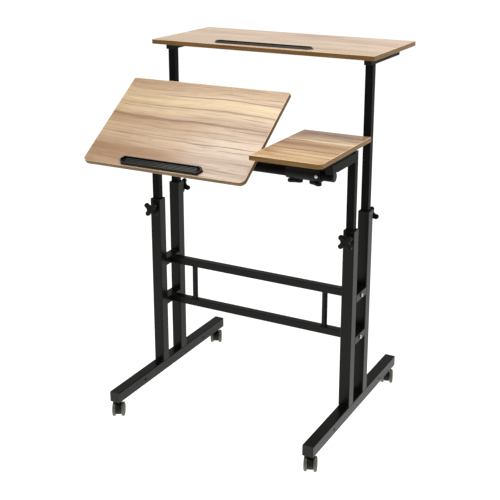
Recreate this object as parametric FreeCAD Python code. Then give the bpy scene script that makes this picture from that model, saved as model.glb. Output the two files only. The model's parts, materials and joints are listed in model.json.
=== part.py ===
import FreeCAD, Part
import math
import os

V = FreeCAD.Vector

# ---------------------------------------------------------------- driving dimensions (mm)
# the base frame is centred on x = y = 0 and stands on z = 0; everything is shifted at the end so that
# the origin is the middle of the object's footprint box, on the floor

# base frame
COL_X = 360.0            # side frame centre plane, left and right
COL_W = 38.0             # outer column, square
COL_T = 2.0              # column wall
COL_R = 3.0              # column corner radius
COL_Y = 60.0             # front columns at -COL_Y, rear columns at +COL_Y
FRONT_TOP = 698.0        # top of the front column tube
REAR_TOP = 728.0         # top of the rear column tube
FOOT_L = 705.5           # foot tube length without its end caps
FOOT_H = 38.0
FOOT_Z = 54.0            # underside of the foot tube
FOOT_HOLE_R = 4.4
FOOT_HOLE_Y = 197.0
RAIL_W = 25.4
RAIL_T = 1.5
RAIL_HI = 461.7          # rail centre heights
RAIL_LO = 314.3
CROSS_H = 26.0           # short cross-piece height
STRUT_X = 250.5
STRUT_R = 9.5            # struts are round tube

# telescoping legs
LEG_W = 25.4
LEG_T = 1.5
LEG_R = 2.0
LEG_GAP = 0.25           # sliding gap in the bush
BUSH_L = 60.0
BUSH_CAP = 3.0
PLUG_L = 45.0

# upper shelf
SHELF_W = 800.0
SHELF_D = 375.0
BOARD_T = 15.0
SHELF_TOP = 1239.4
SHELF_Y0 = -13.0         # front edge
UARM_H = 22.0
UARM_Y0 = 38.0
UARM_Y1 = 281.0
ULEG_L = 665.0

# lower deck
TUBE_Y = -215.6          # cross tube axis
TUBE_Z = 910.1
TUBE_R = 16.0
TUBE_T = 2.0
TUBE_X = 364.0           # half length of the tube without its caps
ARM_H = 30.0
ARM_Z0 = 922.0           # underside of the forward arm
ARM_Y0 = -238.0          # front end of the forward arm
LLEG_L = 455.0

# panels on the cross tube
DECK_H = 52.7            # tube axis to the underside of a panel
DECK_S = 124.4           # tube axis to a panel's front edge
TILT = 35.2              # laptop panel tilt as stored, degrees
TILT_X0 = -447.8
TILT_X1 = 138.3
TILT_D = 378.5
SIDE_X0 = 146.3
SIDE_X1 = 379.3
SIDE_D = 381.5

# stopper bars
USTOP_L = 362.0
TSTOP_L = 308.0
STOP_D = 36.0
STOP_H = 7.0
STOP_SLOPE = 4.5         # outer walls lean in by this much from foot to rim
STOP_RIM = 2.0           # wall of the tray
STOP_FLOOR = 2.6
USTOP_Y = 25.0           # shelf front edge to the bar
TSTOP_S = 4.0            # laptop panel front edge to the bar

# tube clamps
CL_R = 20.5              # clamp sleeve radius
CL_BORE = 16.05
CL_FL_T = 5.0            # flange thickness
FL_PAD = 8.0             # flange beyond the sleeve, each end
SCL_X0 = 213.5           # side shelf clamp
SCL_X1 = 328.5
SCL_RIB = 15.0           # web and flange beyond the sleeve towards the arm
SCL_KNOBS = (239.3, 305.8)
TCL_X = (-298.0, 4.0)    # laptop panel clamp centres
TCL_L = 62.0
SET_X = 317.0            # set screw on the front of the side clamp
SET_BOSS = 9.0           # radius of the raised pad under it

# knobs
STUD_R = 4.0
NUT_BORE = 4.06
NUT_R = 8.0
NUT_H = 6.0
KNOB_DROP_F = 27.5       # knob axis below the column top
KNOB_DROP_R = 26.0
STAR_HUB = 14.0
STAR_T = 11.0
WING_GAP = 0.6
WING_HUB = 0.6
WING_BOSS = 0.3          # tapped boss below the sleeve

# casters
WHEEL_R = 25.0
WHEEL_W = 12.5
HOUSE_W = 18.0
TRAIL = 12.0
STEM_R = 4.0
STEM_Y = 331.0
# headings of the casters as stored, degrees
SWIVEL = {"front_left": 28.5, "front_right": 21.0, "rear_left": 26.0, "rear_right": 18.0}


# ---------------------------------------------------------------- helpers
def rrect(w, h, r):
    """Closed wire of a w x h rectangle about the origin, r one radius or four (front-left, front-right, back-right, back-left)."""
    if not isinstance(r, (tuple, list)):
        r = (r, r, r, r)
    x, y = w / 2.0, h / 2.0
    c = [(-x, -y, r[0], 180), (x, -y, r[1], 270), (x, y, r[2], 0), (-x, y, r[3], 90)]
    e = []
    pts = []
    for cx, cy, cr, a0 in c:
        sx = 1 if cx > 0 else -1
        sy = 1 if cy > 0 else -1
        ox, oy = cx - sx * cr, cy - sy * cr
        p = []
        for a in (a0, a0 + 45, a0 + 90):
            p.append(V(ox + cr * math.cos(math.radians(a)), oy + cr * math.sin(math.radians(a)), 0))
        pts.append(p)
    for i in range(4):
        p = pts[i]
        if r[i] > 1e-6:
            e.append(Part.Arc(p[0], p[1], p[2]).toShape())
        q = pts[(i + 1) % 4][0]
        e.append(Part.LineSegment(p[2], q).toShape())
    return Part.Wire(e)


def prism(wire, h):
    return Part.Face(wire).extrude(V(0, 0, h))


def tube_z(w, h, t, length, r):
    """Rectangular tube along +Z from z = 0."""
    ri = max(r - t, 0.4)
    return prism(rrect(w, h, r), length).cut(prism(rrect(w - 2 * t, h - 2 * t, ri), length + 2).translated(V(0, 0, -1)))


def along_y(s):
    s = s.copy()
    s.rotate(V(0, 0, 0), V(1, 0, 0), -90)
    return s


def along_x(s):
    s = s.copy()
    s.rotate(V(0, 0, 0), V(0, 1, 0), 90)
    return s


def at(s, x, y, z):
    s = s.copy()
    s.translate(V(x, y, z))
    return s


def cyl(r, h, p, d):
    return Part.makeCylinder(r, h, V(*p), V(*d))


def group(*shapes):
    out = []
    for s in shapes:
        out += s.Solids
    return Part.makeCompound(out)


def soft(s, r, pick):
    """Rounds the edges that pick accepts."""
    ed = [e for e in s.Edges if pick(e)]
    return s.makeFillet(r, ed)


def revolve(points):
    """Closed profile of (radius, z) points turned about Z."""
    w = Part.makePolygon([V(a, 0, b) for a, b in points] + [V(points[0][0], 0, points[0][1])])
    return Part.Face(w).revolve(V(0, 0, 0), V(0, 0, 1), 360)


def pan_screw(r, length, head_r, head_h):
    """Screw along +Z, seat of the head at z = 0, cross recess in the head below."""
    prof = [(0, length), (r * 0.35, length), (r, length - 1.8 * r), (r, 0), (head_r, 0), (head_r, -0.45 * head_h),
            (head_r * 0.86, -0.8 * head_h), (head_r * 0.55, -head_h), (0, -head_h)]
    s = revolve(prof)
    a = Part.makeBox(head_r * 1.1, head_r * 0.26, head_h * 0.55, V(-head_r * 0.55, -head_r * 0.13, -head_h - 0.01))
    b = Part.makeBox(head_r * 0.26, head_r * 1.1, head_h * 0.55, V(-head_r * 0.13, -head_r * 0.55, -head_h - 0.01))
    return s.cut(a.fuse(b))


def button_bolt(r, length, head_r, head_h, hex_af):
    """Button head bolt along +Z, seat at z = 0, hexagon socket in the head below."""
    prof = [(0, length), (r - 0.8, length), (r, length - 0.8), (r, 0), (head_r, 0), (head_r, -0.3 * head_h),
            (head_r * 0.9, -0.68 * head_h), (head_r * 0.72, -0.9 * head_h), (head_r * 0.5, -head_h), (0, -head_h)]
    s = revolve(prof)
    k = hex_af / 2.0 / math.cos(math.radians(30))
    hexa = Part.makePolygon([V(k * math.cos(math.radians(60 * i)), k * math.sin(math.radians(60 * i)), 0) for i in range(7)])
    return s.cut(Part.Face(hexa).extrude(V(0, 0, head_h * 0.6)).translated(V(0, 0, -head_h - 0.01)))


def lobes(n, d, a, b):
    """Wire of a lobed knob: n round lobes of radius a at distance d, hollows of radius b between them."""
    half = math.pi / n
    # hollow centre distance where hollow and lobe circles touch
    B = -2 * d * math.cos(half)
    Cc = d * d - (a + b) ** 2
    D = (-B + math.sqrt(B * B - 4 * Cc)) / 2.0
    e = []
    for k in range(n):
        f = 2 * half * k

        def pol(rad, ang):
            return V(rad * math.cos(ang), rad * math.sin(ang), 0)
        L = pol(d, f)
        H0, H1 = pol(D, f - half), pol(D, f + half)
        L2 = pol(d, f + 2 * half)
        t0 = L + (H0 - L).normalize() * a
        t1 = L + (H1 - L).normalize() * a
        t2 = L2 + (H1 - L2).normalize() * a
        e.append(Part.Arc(t0, pol(d + a, f), t1).toShape())
        e.append(Part.Arc(t1, pol(D - b, f + half), t2).toShape())
    return Part.Wire(e)


def knob(wire, head_t, round_r, hub_r, hub_h, stud_len, dish_r):
    """Knob along +Z: the stud runs to +Z from the hub's foot at z = 0, the head lies at z = -hub_h - head_t .. -hub_h."""
    head = prism(wire, head_t).translated(V(0, 0, -hub_h - head_t))
    head = soft(head, round_r, lambda e: abs(e.BoundBox.ZMin + hub_h + head_t) < 1e-4 and e.BoundBox.ZLength < 1e-4)
    head = soft(head, round_r * 0.6, lambda e: abs(e.BoundBox.ZMin + hub_h) < 1e-4 and e.BoundBox.ZLength < 1e-4)
    hub = revolve([(0, 0), (hub_r - 0.8, 0), (hub_r, -0.8), (hub_r * 1.12, -hub_h - 1.0), (0, -hub_h - 1.0)])
    dish = revolve([(0, -hub_h - head_t - 1), (dish_r + 0.4, -hub_h - head_t - 1), (dish_r - 0.5, -hub_h - head_t + 1.2), (0, -hub_h - head_t + 1.2)])
    stud = revolve([(0, -hub_h - 2), (STUD_R, -hub_h - 2), (STUD_R, stud_len - 0.9), (STUD_R - 0.9, stud_len), (0, stud_len)])
    return head.fuse(hub).cut(dish).fuse(stud).removeSplitter()


def place_z_to(s, p, d):
    """Turns +Z to direction d and moves the origin to p."""
    s = s.copy()
    s.Placement = FreeCAD.Placement(V(*p), FreeCAD.Rotation(V(0, 0, 1), V(*d))).multiply(s.Placement)
    return s


nodes = {}

# ---------------------------------------------------------------- base frame
foot_hole_z = FOOT_Z + FOOT_H / 2.0
for side, sx in (("left", -1), ("right", 1)):
    x = sx * COL_X
    ft = at(along_y(tube_z(COL_W, FOOT_H, COL_T, FOOT_L, COL_R)), x, -FOOT_L / 2.0, FOOT_Z + FOOT_H / 2.0)
    for y in (-FOOT_HOLE_Y, FOOT_HOLE_Y):
        ft = ft.cut(cyl(FOOT_HOLE_R, COL_W + 4, (x - COL_W / 2 - 2, y, foot_hole_z), (1, 0, 0)))
    for y in (-STEM_Y, STEM_Y):
        ft = ft.cut(cyl(6.0, COL_T + 2, (x, y, FOOT_Z - 1), (0, 0, 1)))
    nodes["foot_tube_" + side] = ft

caps = []
for sx in (-1, 1):
    for sy in (-1, 1):
        flange = prism(rrect(COL_W, FOOT_H, COL_R), 3.0)
        flange = soft(flange, 1.2, lambda e: abs(e.BoundBox.ZMin - 3.0) < 1e-4 and e.BoundBox.ZLength < 1e-4)
        plug = prism(rrect(COL_W - 2 * COL_T, FOOT_H - 2 * COL_T, COL_R - COL_T), 14.0).translated(V(0, 0, -14.0))
        plug = plug.cut(prism(rrect(COL_W - 2 * COL_T - 5, FOOT_H - 2 * COL_T - 5, 0.5), 13.0).translated(V(0, 0, -14.0)))
        c = along_y(flange.fuse(plug).removeSplitter())
        if sy < 0:
            c.rotate(V(0, 0, 0), V(0, 0, 1), 180)
        caps.append(at(c, sx * COL_X, sy * FOOT_L / 2.0, FOOT_Z + FOOT_H / 2.0))
nodes["foot_end_caps"] = group(*caps)

FOOT_TOP = FOOT_Z + FOOT_H
KNOB_Z_F = FRONT_TOP - KNOB_DROP_F
KNOB_Z_R = REAR_TOP - KNOB_DROP_R
for side, sx in (("left", -1), ("right", 1)):
    for end, sy, top, kz in (("front", -1, FRONT_TOP, KNOB_Z_F), ("rear", 1, REAR_TOP, KNOB_Z_R)):
        c = at(tube_z(COL_W, COL_W, COL_T, top - FOOT_TOP, COL_R), sx * COL_X, sy * COL_Y, FOOT_TOP)
        face = sy * (COL_Y + COL_W / 2.0)
        c = c.cut(cyl(4.6, 8, (sx * COL_X, face - sy * 5, kz), (0, sy, 0)))
        nodes["column_%s_%s" % (end, side)] = c

# short cross-pieces between the columns of a side, flush with their outer faces
CP_L = 2 * COL_Y - COL_W
cross = []
for sx in (-1, 1):
    for z in (RAIL_HI, RAIL_LO):
        c = at(along_y(tube_z(COL_W, CROSS_H, COL_T, CP_L, 1.5)), sx * COL_X, -CP_L / 2.0, z)
        c = c.cut(cyl(4.3, COL_W + 4, (sx * COL_X - COL_W / 2 - 2, 0, z), (1, 0, 0)))
        cross.append(c)
nodes["side_crosspieces"] = group(*cross)

RAIL_L = 2 * (COL_X - COL_W / 2.0)
for name, z in (("rail_upper", RAIL_HI), ("rail_lower", RAIL_LO)):
    r = at(along_x(tube_z(RAIL_W, RAIL_W, RAIL_T, RAIL_L, 1.8)), -RAIL_L / 2.0, 0, z)
    for sx in (-1, 1):
        plate = prism(rrect(RAIL_W - 2 * RAIL_T, RAIL_W - 2 * RAIL_T, 0.3), 6.0)
        plate = plate.cut(cyl(4.03, 10, (0, 0, -1), (0, 0, 1)))
        plate = along_x(plate)
        r = r.fuse(at(plate, sx * RAIL_L / 2.0 - (6.0 if sx > 0 else 0.0), 0, z))
    nodes[name] = r.removeSplitter()

struts = []
for sx in (-1, 1):
    st = Part.makeCylinder(STRUT_R, RAIL_HI - RAIL_LO - RAIL_W).cut(Part.makeCylinder(STRUT_R - RAIL_T, 400.0, V(0, 0, -100.0)))
    struts.append(at(st, sx * STRUT_X, 0, RAIL_LO + RAIL_W / 2.0))
nodes["rail_struts"] = group(*struts)

bolts, washers = [], []
for sx in (-1, 1):
    for z in (RAIL_HI, RAIL_LO):
        face = sx * (COL_X + COL_W / 2.0)
        w = Part.makeCylinder(8.5, 1.6).cut(Part.makeCylinder(4.2, 4, V(0, 0, -1)))
        w = soft(w, 0.5, lambda e: abs(e.BoundBox.ZMin - 1.6) < 1e-4 and e.BoundBox.ZLength < 1e-4 and e.BoundBox.XLength > 10)
        washers.append(place_z_to(w, (face, 0, z), (sx, 0, 0)))
        b = button_bolt(4.0, COL_W + 1.6 + 12.0, 6.2, 4.2, 4.0)
        bolts.append(place_z_to(b, (face + sx * 1.6, 0, z), (-sx, 0, 0)))
nodes["frame_bolts"] = group(*bolts)
nodes["frame_washers"] = group(*washers)

# guide bushes in the column tops
bushes, nuts = [], []
for sx in (-1, 1):
    for sy, top, kz in ((-1, FRONT_TOP, KNOB_Z_F), (1, REAR_TOP, KNOB_Z_R)):
        body = prism(rrect(COL_W - 2 * COL_T, COL_W - 2 * COL_T, COL_R - COL_T), BUSH_L).translated(V(0, 0, -BUSH_L))
        cap = prism(rrect(COL_W, COL_W, COL_R), BUSH_CAP)
        cap = soft(cap, 1.6, lambda e: abs(e.BoundBox.ZMin - BUSH_CAP) < 1e-4 and e.BoundBox.ZLength < 1e-4)
        bore = prism(rrect(LEG_W + 2 * LEG_GAP, LEG_W + 2 * LEG_GAP, LEG_R + LEG_GAP), BUSH_L + BUSH_CAP + 2).translated(V(0, 0, -BUSH_L - 1))
        b = at(body.fuse(cap).removeSplitter().cut(bore), sx * COL_X, sy * COL_Y, top)
        b = b.cut(cyl(4.6, 14, (sx * COL_X, sy * (COL_Y + LEG_W / 2.0 - 2), kz), (0, sy, 0)))
        bushes.append(b)
        n = Part.makeCylinder(NUT_R, NUT_H).cut(Part.makeCylinder(NUT_BORE, NUT_H + 4, V(0, 0, -2)))
        n = soft(n, 0.8, lambda e: abs(e.BoundBox.ZMin - NUT_H) < 1e-4 and e.BoundBox.ZLength < 1e-4 and e.BoundBox.XLength > 12)
        nuts.append(place_z_to(n, (sx * COL_X, sy * (COL_Y + COL_W / 2.0), kz), (0, sy, 0)))
nodes["column_bushes"] = group(*bushes)
nodes["knob_weld_nuts"] = group(*nuts)

# caster sockets and stems
sockets, stems = [], []
for sx in (-1, 1):
    for sy in (-1, 1):
        s = revolve([(STEM_R, -1.5), (9.0, -1.5), (9.5, -1.0), (9.5, 0), (6.0, 0), (6.0, 24.0), (STEM_R, 24.0)])
        sockets.append(at(s, sx * COL_X, sy * STEM_Y, FOOT_Z))
        st = revolve([(0, 26.0), (2.6, 26.0), (STEM_R, 24.0), (STEM_R, -20.2), (STEM_R - 0.8, -21.0), (0, -21.0)])
        stems.append(at(st, sx * COL_X, sy * STEM_Y, FOOT_Z))
nodes["caster_sockets"] = group(*sockets)
nodes["caster_stems"] = group(*stems)

# ---------------------------------------------------------------- telescoping legs
LLEG_TOP = ARM_Z0 + ARM_H
ULEG_TOP = SHELF_TOP - BOARD_T - UARM_H


def slider(x, y, z):
    """Plastic plug at the lower end of a leg: collar that slides in the column, tongue inside the leg."""
    col_in = COL_W - 2 * COL_T
    s = prism(rrect(col_in - 0.6, col_in - 0.6, 2.0), PLUG_L).translated(V(0, 0, -6.0))
    s = s.cut(prism(rrect(LEG_W, LEG_W, LEG_R), PLUG_L))
    inner = LEG_W - 2 * LEG_T
    s = s.fuse(prism(rrect(inner, inner, LEG_R - LEG_T), 20.0)).removeSplitter()
    return at(s, x, y, z)


for side, sx in (("left", -1), ("right", 1)):
    nodes["lower_leg_" + side] = at(tube_z(LEG_W, LEG_W, LEG_T, LLEG_L, LEG_R), sx * COL_X, -COL_Y, LLEG_TOP - LLEG_L)
    nodes["upper_leg_" + side] = at(tube_z(LEG_W, LEG_W, LEG_T, ULEG_L, LEG_R), sx * COL_X, COL_Y, ULEG_TOP - ULEG_L)
nodes["lower_leg_sliders"] = group(*[slider(sx * COL_X, -COL_Y, LLEG_TOP - LLEG_L) for sx in (-1, 1)])
nodes["upper_leg_sliders"] = group(*[slider(sx * COL_X, COL_Y, ULEG_TOP - ULEG_L) for sx in (-1, 1)])


def end_cap(w, h, r, t, wall):
    """Moulded tube cap along +Z: rounded flange at z = 0 .. t, plug below."""
    f = prism(rrect(w, h, r), t)
    f = soft(f, min(1.0, t * 0.45), lambda e: abs(e.BoundBox.ZMin - t) < 1e-4 and e.BoundBox.ZLength < 1e-4)
    p = prism(rrect(w - 2 * wall, h - 2 * wall, max(r - wall, 0.4)), 10.0).translated(V(0, 0, -10.0))
    return f.fuse(p).removeSplitter()


# ---------------------------------------------------------------- upper shelf
UARM_Z = ULEG_TOP + UARM_H / 2.0
UARM_L = UARM_Y1 - UARM_Y0
ucaps, uscrews = [], []
shelf = at(prism(rrect(SHELF_W, SHELF_D, (6, 6, 6, 6)), BOARD_T), 0, SHELF_Y0 + SHELF_D / 2.0, SHELF_TOP - BOARD_T)
USCREW_Y = (110.0, 262.0)
for side, sx in (("left", -1), ("right", 1)):
    a = at(along_y(tube_z(LEG_W, UARM_H, LEG_T, UARM_L, LEG_R)), sx * COL_X, UARM_Y0, UARM_Z)
    for y in USCREW_Y:
        a = a.cut(cyl(2.4, 60, (sx * COL_X, y, UARM_Z - 30), (0, 0, 1)))
        uscrews.append(at(pan_screw(2.1, UARM_H + 11.0, 4.6, 3.0), sx * COL_X, y, UARM_Z - UARM_H / 2.0))
        shelf = shelf.cut(cyl(2.12, 12.5, (sx * COL_X, y, SHELF_TOP - BOARD_T - 1.0), (0, 0, 1)))
    nodes["upper_arm_" + side] = a
    c = end_cap(LEG_W, UARM_H, LEG_R, 3.0, LEG_T)
    ucaps.append(at(along_y(c), sx * COL_X, UARM_Y1, UARM_Z))
    c2 = along_y(c)
    c2.rotate(V(0, 0, 0), V(0, 0, 1), 180)
    ucaps.append(at(c2, sx * COL_X, UARM_Y0, UARM_Z))
nodes["upper_arm_caps"] = group(*ucaps)
nodes["upper_shelf"] = shelf
nodes["upper_shelf_screws"] = group(*uscrews)


def hexagon(length, depth, inset):
    """Closed wire of a long hexagon with pointed ends, all sides moved in by inset."""
    x, y, k = length / 2.0, depth / 2.0, depth * 0.42
    slant = math.hypot(k, y)
    tip = x - inset * slant / y
    yy = y - inset
    sh = tip - k * yy / y
    return Part.makePolygon([V(-tip, 0, 0), V(-sh, -yy, 0), V(sh, -yy, 0), V(tip, 0, 0), V(sh, yy, 0), V(-sh, yy, 0), V(-tip, 0, 0)])


def stopper(length, depth, h):
    """Ledge bar: shallow tray with pointed ends, leaning walls and a ridged floor, foot at z = 0, long way X."""
    foot, rim = hexagon(length, depth, 0.0), hexagon(length, depth, STOP_SLOPE)
    rim.translate(V(0, 0, h))
    s = Part.makeLoft([foot, rim], True, True)
    s = soft(s, 0.6, lambda e: abs(e.BoundBox.ZMin - h) < 1e-4 and e.BoundBox.ZLength < 1e-4)
    s = s.cut(prism(hexagon(length, depth, STOP_SLOPE + STOP_RIM), h).translated(V(0, 0, STOP_FLOOR)))
    gd = depth - 2.0 * (STOP_SLOPE + STOP_RIM)
    for i in range(4):
        y = -gd / 2.0 + gd * (i + 0.5) / 4.0
        half = length / 2.0 - depth * 0.42 - STOP_SLOPE - 6.0
        s = s.fuse(Part.makeBox(2.0 * half, 2.2, 1.4, V(-half, y - 1.1, STOP_FLOOR - 0.4)))
    return s.removeSplitter()


def clear_face(board, x0, x1, y, z):
    """Parts the board's top face along a line behind the stopper bar, so that the face to put things on is a face of its own."""
    line = Part.LineSegment(V(x0, y, z), V(x1, y, z)).toShape()
    parted, _ = board.generalFuse([line])
    return parted.Solids[0]


nodes["upper_stopper"] = at(stopper(USTOP_L, STOP_D, STOP_H), 0.0, SHELF_Y0 + USTOP_Y + STOP_D / 2.0, SHELF_TOP)
nodes["upper_shelf"] = clear_face(nodes["upper_shelf"], -SHELF_W / 2.0, SHELF_W / 2.0, SHELF_Y0 + USTOP_Y + STOP_D + 0.5, SHELF_TOP)

# ---------------------------------------------------------------- lower deck
dcaps = []
tube = cyl(TUBE_R, 2 * TUBE_X, (-TUBE_X, TUBE_Y, TUBE_Z), (1, 0, 0))
solid_tube = tube
tube = tube.cut(cyl(TUBE_R - TUBE_T, 2 * TUBE_X + 4, (-TUBE_X - 2, TUBE_Y, TUBE_Z), (1, 0, 0)))
nodes["cross_tube"] = tube
ARM_L = -COL_Y - LEG_W / 2.0 - ARM_Y0
for side, sx in (("left", -1), ("right", 1)):
    a = at(along_y(tube_z(LEG_W, ARM_H, 2.0, ARM_L, LEG_R)), sx * COL_X, ARM_Y0, ARM_Z0 + ARM_H / 2.0)
    nodes["lower_arm_" + side] = a.cut(cyl(TUBE_R, 2 * COL_X + 100, (-COL_X - 50, TUBE_Y, TUBE_Z), (1, 0, 0)))
    c = along_y(end_cap(LEG_W, ARM_H, LEG_R, 3.0, 2.0))
    c.rotate(V(0, 0, 0), V(0, 0, 1), 180)
    dcaps.append(at(c, sx * COL_X, ARM_Y0, ARM_Z0 + ARM_H / 2.0))
    dcaps.append(at(end_cap(LEG_W, LEG_W, LEG_R, 2.5, LEG_T), sx * COL_X, -COL_Y, LLEG_TOP))
    ri = TUBE_R - TUBE_T
    rc = revolve([(0, -9.0), (ri - 3.0, -9.0), (ri, -8.0), (ri, 0), (TUBE_R, 0), (TUBE_R, 2.2), (TUBE_R - 1.0, 3.6), (TUBE_R - 3.2, 4.4), (0, 4.4)])
    dcaps.append(place_z_to(rc, (sx * TUBE_X, TUBE_Y, TUBE_Z), (sx, 0, 0)))
nodes["lower_deck_caps"] = group(*dcaps)


def clamp(x0, x1, knob_x, fl_pad, set_x=None, rib=0.0):
    """Tube clamp about the tube axis at y = z = 0, panel level: sleeve, web and screw flange; tapped bosses below."""
    L = x1 - x0
    s = cyl(CL_R, L, (x0, 0, 0), (1, 0, 0))
    s = soft(s, 1.5, lambda e: e.BoundBox.XLength < 1e-4)
    # web: narrows from the sleeve to the flange
    w = Part.makePolygon([V(x0 + 2, -20.0, 0), V(x0 + 2, 20.0, 0), V(x0 + 2, 13.0, DECK_H - CL_FL_T), V(x0 + 2, -13.0, DECK_H - CL_FL_T), V(x0 + 2, -20.0, 0)])
    web = Part.Face(w).extrude(V(L - 4, 0, 0))
    pad_r = max(fl_pad, rib)
    fl = at(prism(rrect(L + fl_pad + pad_r, 76.0, 8.0), CL_FL_T), (x0 - fl_pad + x1 + pad_r) / 2.0, 0, DECK_H - CL_FL_T)
    s = s.fuse(web).fuse(fl)
    if rib:
        # rib under the flange, clear of the tube
        zr = TUBE_R + 2.0
        r = Part.makePolygon([V(x1 - 6, -16.0, zr), V(x1 - 6, 16.0, zr), V(x1 - 6, 13.0, DECK_H - CL_FL_T), V(x1 - 6, -13.0, DECK_H - CL_FL_T), V(x1 - 6, -16.0, zr)])
        s = s.fuse(Part.Face(r).extrude(V(rib + 4, 0, 0)))
    for k in knob_x:
        s = s.fuse(cyl(9.0, CL_R + WING_BOSS, (k, 0, 0), (0, 0, -1)))
    if set_x is not None:
        s = s.fuse(cyl(SET_BOSS, CL_R + 1.0, (set_x, 0, 0), (0, -1, 0)))
    s = s.removeSplitter()
    s = s.cut(cyl(CL_BORE, L + 4, (x0 - 2, 0, 0), (1, 0, 0)))
    for k in knob_x:
        s = s.cut(cyl(NUT_BORE, CL_R + 6, (k, 0, 0), (0, 0, -1)))
    if set_x is not None:
        s = s.cut(cyl(3.02, CL_R + 4, (set_x, 0, 0), (0, -1, 0)))
    return s.removeSplitter()


def clamp_screw_xy(x0, x1):
    return [(x, y) for x in (x0 - FL_PAD + 9.0, x1 + FL_PAD - 9.0) for y in (-29.0, 29.0)]


def to_deck(s, tilt=0.0):
    """From tube-axis coordinates to the desk, turned about the tube by tilt degrees (front edge down)."""
    s = s.copy()
    if tilt:
        s.rotate(V(0, 0, 0), V(1, 0, 0), tilt)
    s.translate(V(0, TUBE_Y, TUBE_Z))
    return s


# side shelf, level
board = at(prism(rrect(SIDE_X1 - SIDE_X0, SIDE_D, (5, 18, 5, 4)), BOARD_T), (SIDE_X0 + SIDE_X1) / 2.0, SIDE_D / 2.0 - DECK_S, DECK_H)
ss = []
for x, y in clamp_screw_xy(SCL_X0, SCL_X1):
    board = board.cut(cyl(1.92, 11.0, (x, y, DECK_H - 1.0), (0, 0, 1)))
    ss.append(at(pan_screw(1.9, CL_FL_T + 9.0, 4.2, 2.8), x, y, DECK_H - CL_FL_T))
sc = clamp(SCL_X0, SCL_X1, SCL_KNOBS, FL_PAD, SET_X, SCL_RIB)
for x, y in clamp_screw_xy(SCL_X0, SCL_X1):
    sc = sc.cut(cyl(2.1, CL_FL_T + 4, (x, y, DECK_H - CL_FL_T - 2), (0, 0, 1)))
# set screw on the pad, its tip just short of the tube
setscrew = place_z_to(button_bolt(3.0, CL_R + 1.0 - TUBE_R - 0.4, 5.6, 3.4, 3.0), (SET_X, -CL_R - 1.0, 0), (0, 1, 0))
nodes["side_shelf"] = to_deck(board)
nodes["side_clamp"] = to_deck(sc)
nodes["side_clamp_screws"] = to_deck(group(*(ss + [setscrew])))

# laptop panel, stored tilted
board = at(prism(rrect(TILT_X1 - TILT_X0, TILT_D, (20, 20, 5, 5)), BOARD_T), (TILT_X0 + TILT_X1) / 2.0, TILT_D / 2.0 - DECK_S, DECK_H)
ts, tc = [], []
for xc in TCL_X:
    x0, x1 = xc - TCL_L / 2.0, xc + TCL_L / 2.0
    c = clamp(x0, x1, (xc,), FL_PAD)
    for x, y in clamp_screw_xy(x0, x1):
        board = board.cut(cyl(1.92, 11.0, (x, y, DECK_H - 1.0), (0, 0, 1)))
        ts.append(at(pan_screw(1.9, CL_FL_T + 9.0, 4.2, 2.8), x, y, DECK_H - CL_FL_T))
        c = c.cut(cyl(2.1, CL_FL_T + 4, (x, y, DECK_H - CL_FL_T - 2), (0, 0, 1)))
    tc.append(c)
board = clear_face(board, TILT_X0, TILT_X1, TSTOP_S + STOP_D + 0.5 - DECK_S, DECK_H + BOARD_T)
nodes["tilt_panel"] = to_deck(board, TILT)
nodes["tilt_clamps"] = to_deck(group(*tc), TILT)
nodes["tilt_clamp_screws"] = to_deck(group(*ts), TILT)
TSTOP_X = (TILT_X0 + TILT_X1) / 2.0 - 6.0
nodes["tilt_stopper"] = to_deck(at(stopper(TSTOP_L, STOP_D, STOP_H), TSTOP_X, TSTOP_S + STOP_D / 2.0 - DECK_S, DECK_H + BOARD_T), TILT)

# ---------------------------------------------------------------- knobs
star = lobes(4, 20.4, 8.2, 9.0)
wing = lobes(2, 13.5, 10.0, 60.0)
STAR_TURN = {"front_left": 37.0, "front_right": 45.0, "rear_left": -15.0, "rear_right": -10.0}
star_stud = NUT_H + 0.6 + (COL_W - LEG_W) / 2.0 - 0.3
for side, sx in (("left", -1), ("right", 1)):
    for end, sy, kz in (("front", -1, KNOB_Z_F), ("rear", 1, KNOB_Z_R)):
        k = knob(star, STAR_T, 2.6, 8.5, STAR_HUB, star_stud, 7.0)
        k.rotate(V(0, 0, 0), V(0, 0, 1), STAR_TURN[end + "_" + side])
        p = (sx * COL_X, sy * (COL_Y + COL_W / 2.0 + NUT_H + 0.6), kz)
        nodes["star_knob_%s_%s" % (end, side)] = place_z_to(k, p, (0, -sy, 0))

wing_stud = CL_R + WING_BOSS + WING_GAP - TUBE_R - 0.3
WING_Z = -(CL_R + WING_BOSS + WING_GAP)


def wing_knob(x, turn):
    k = knob(wing, 10.0, 3.6, 8.0, WING_HUB, wing_stud, 4.2)
    k.rotate(V(0, 0, 0), V(0, 0, 1), turn)
    return at(k, x, 0, WING_Z)


nodes["wing_knob_side_a"] = to_deck(wing_knob(SCL_KNOBS[0], 16.0))
nodes["wing_knob_side_b"] = to_deck(wing_knob(SCL_KNOBS[1], -25.0))
nodes["wing_knob_tilt_a"] = to_deck(wing_knob(TCL_X[0], 10.0), TILT)
nodes["wing_knob_tilt_b"] = to_deck(wing_knob(TCL_X[1], -35.0), TILT)

# ---------------------------------------------------------------- casters
# built about the swivel axis at x = y = 0, axle along X, trail towards -Y, floor at z = 0
HOUSE_TOP = FOOT_Z - 2.3


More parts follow.
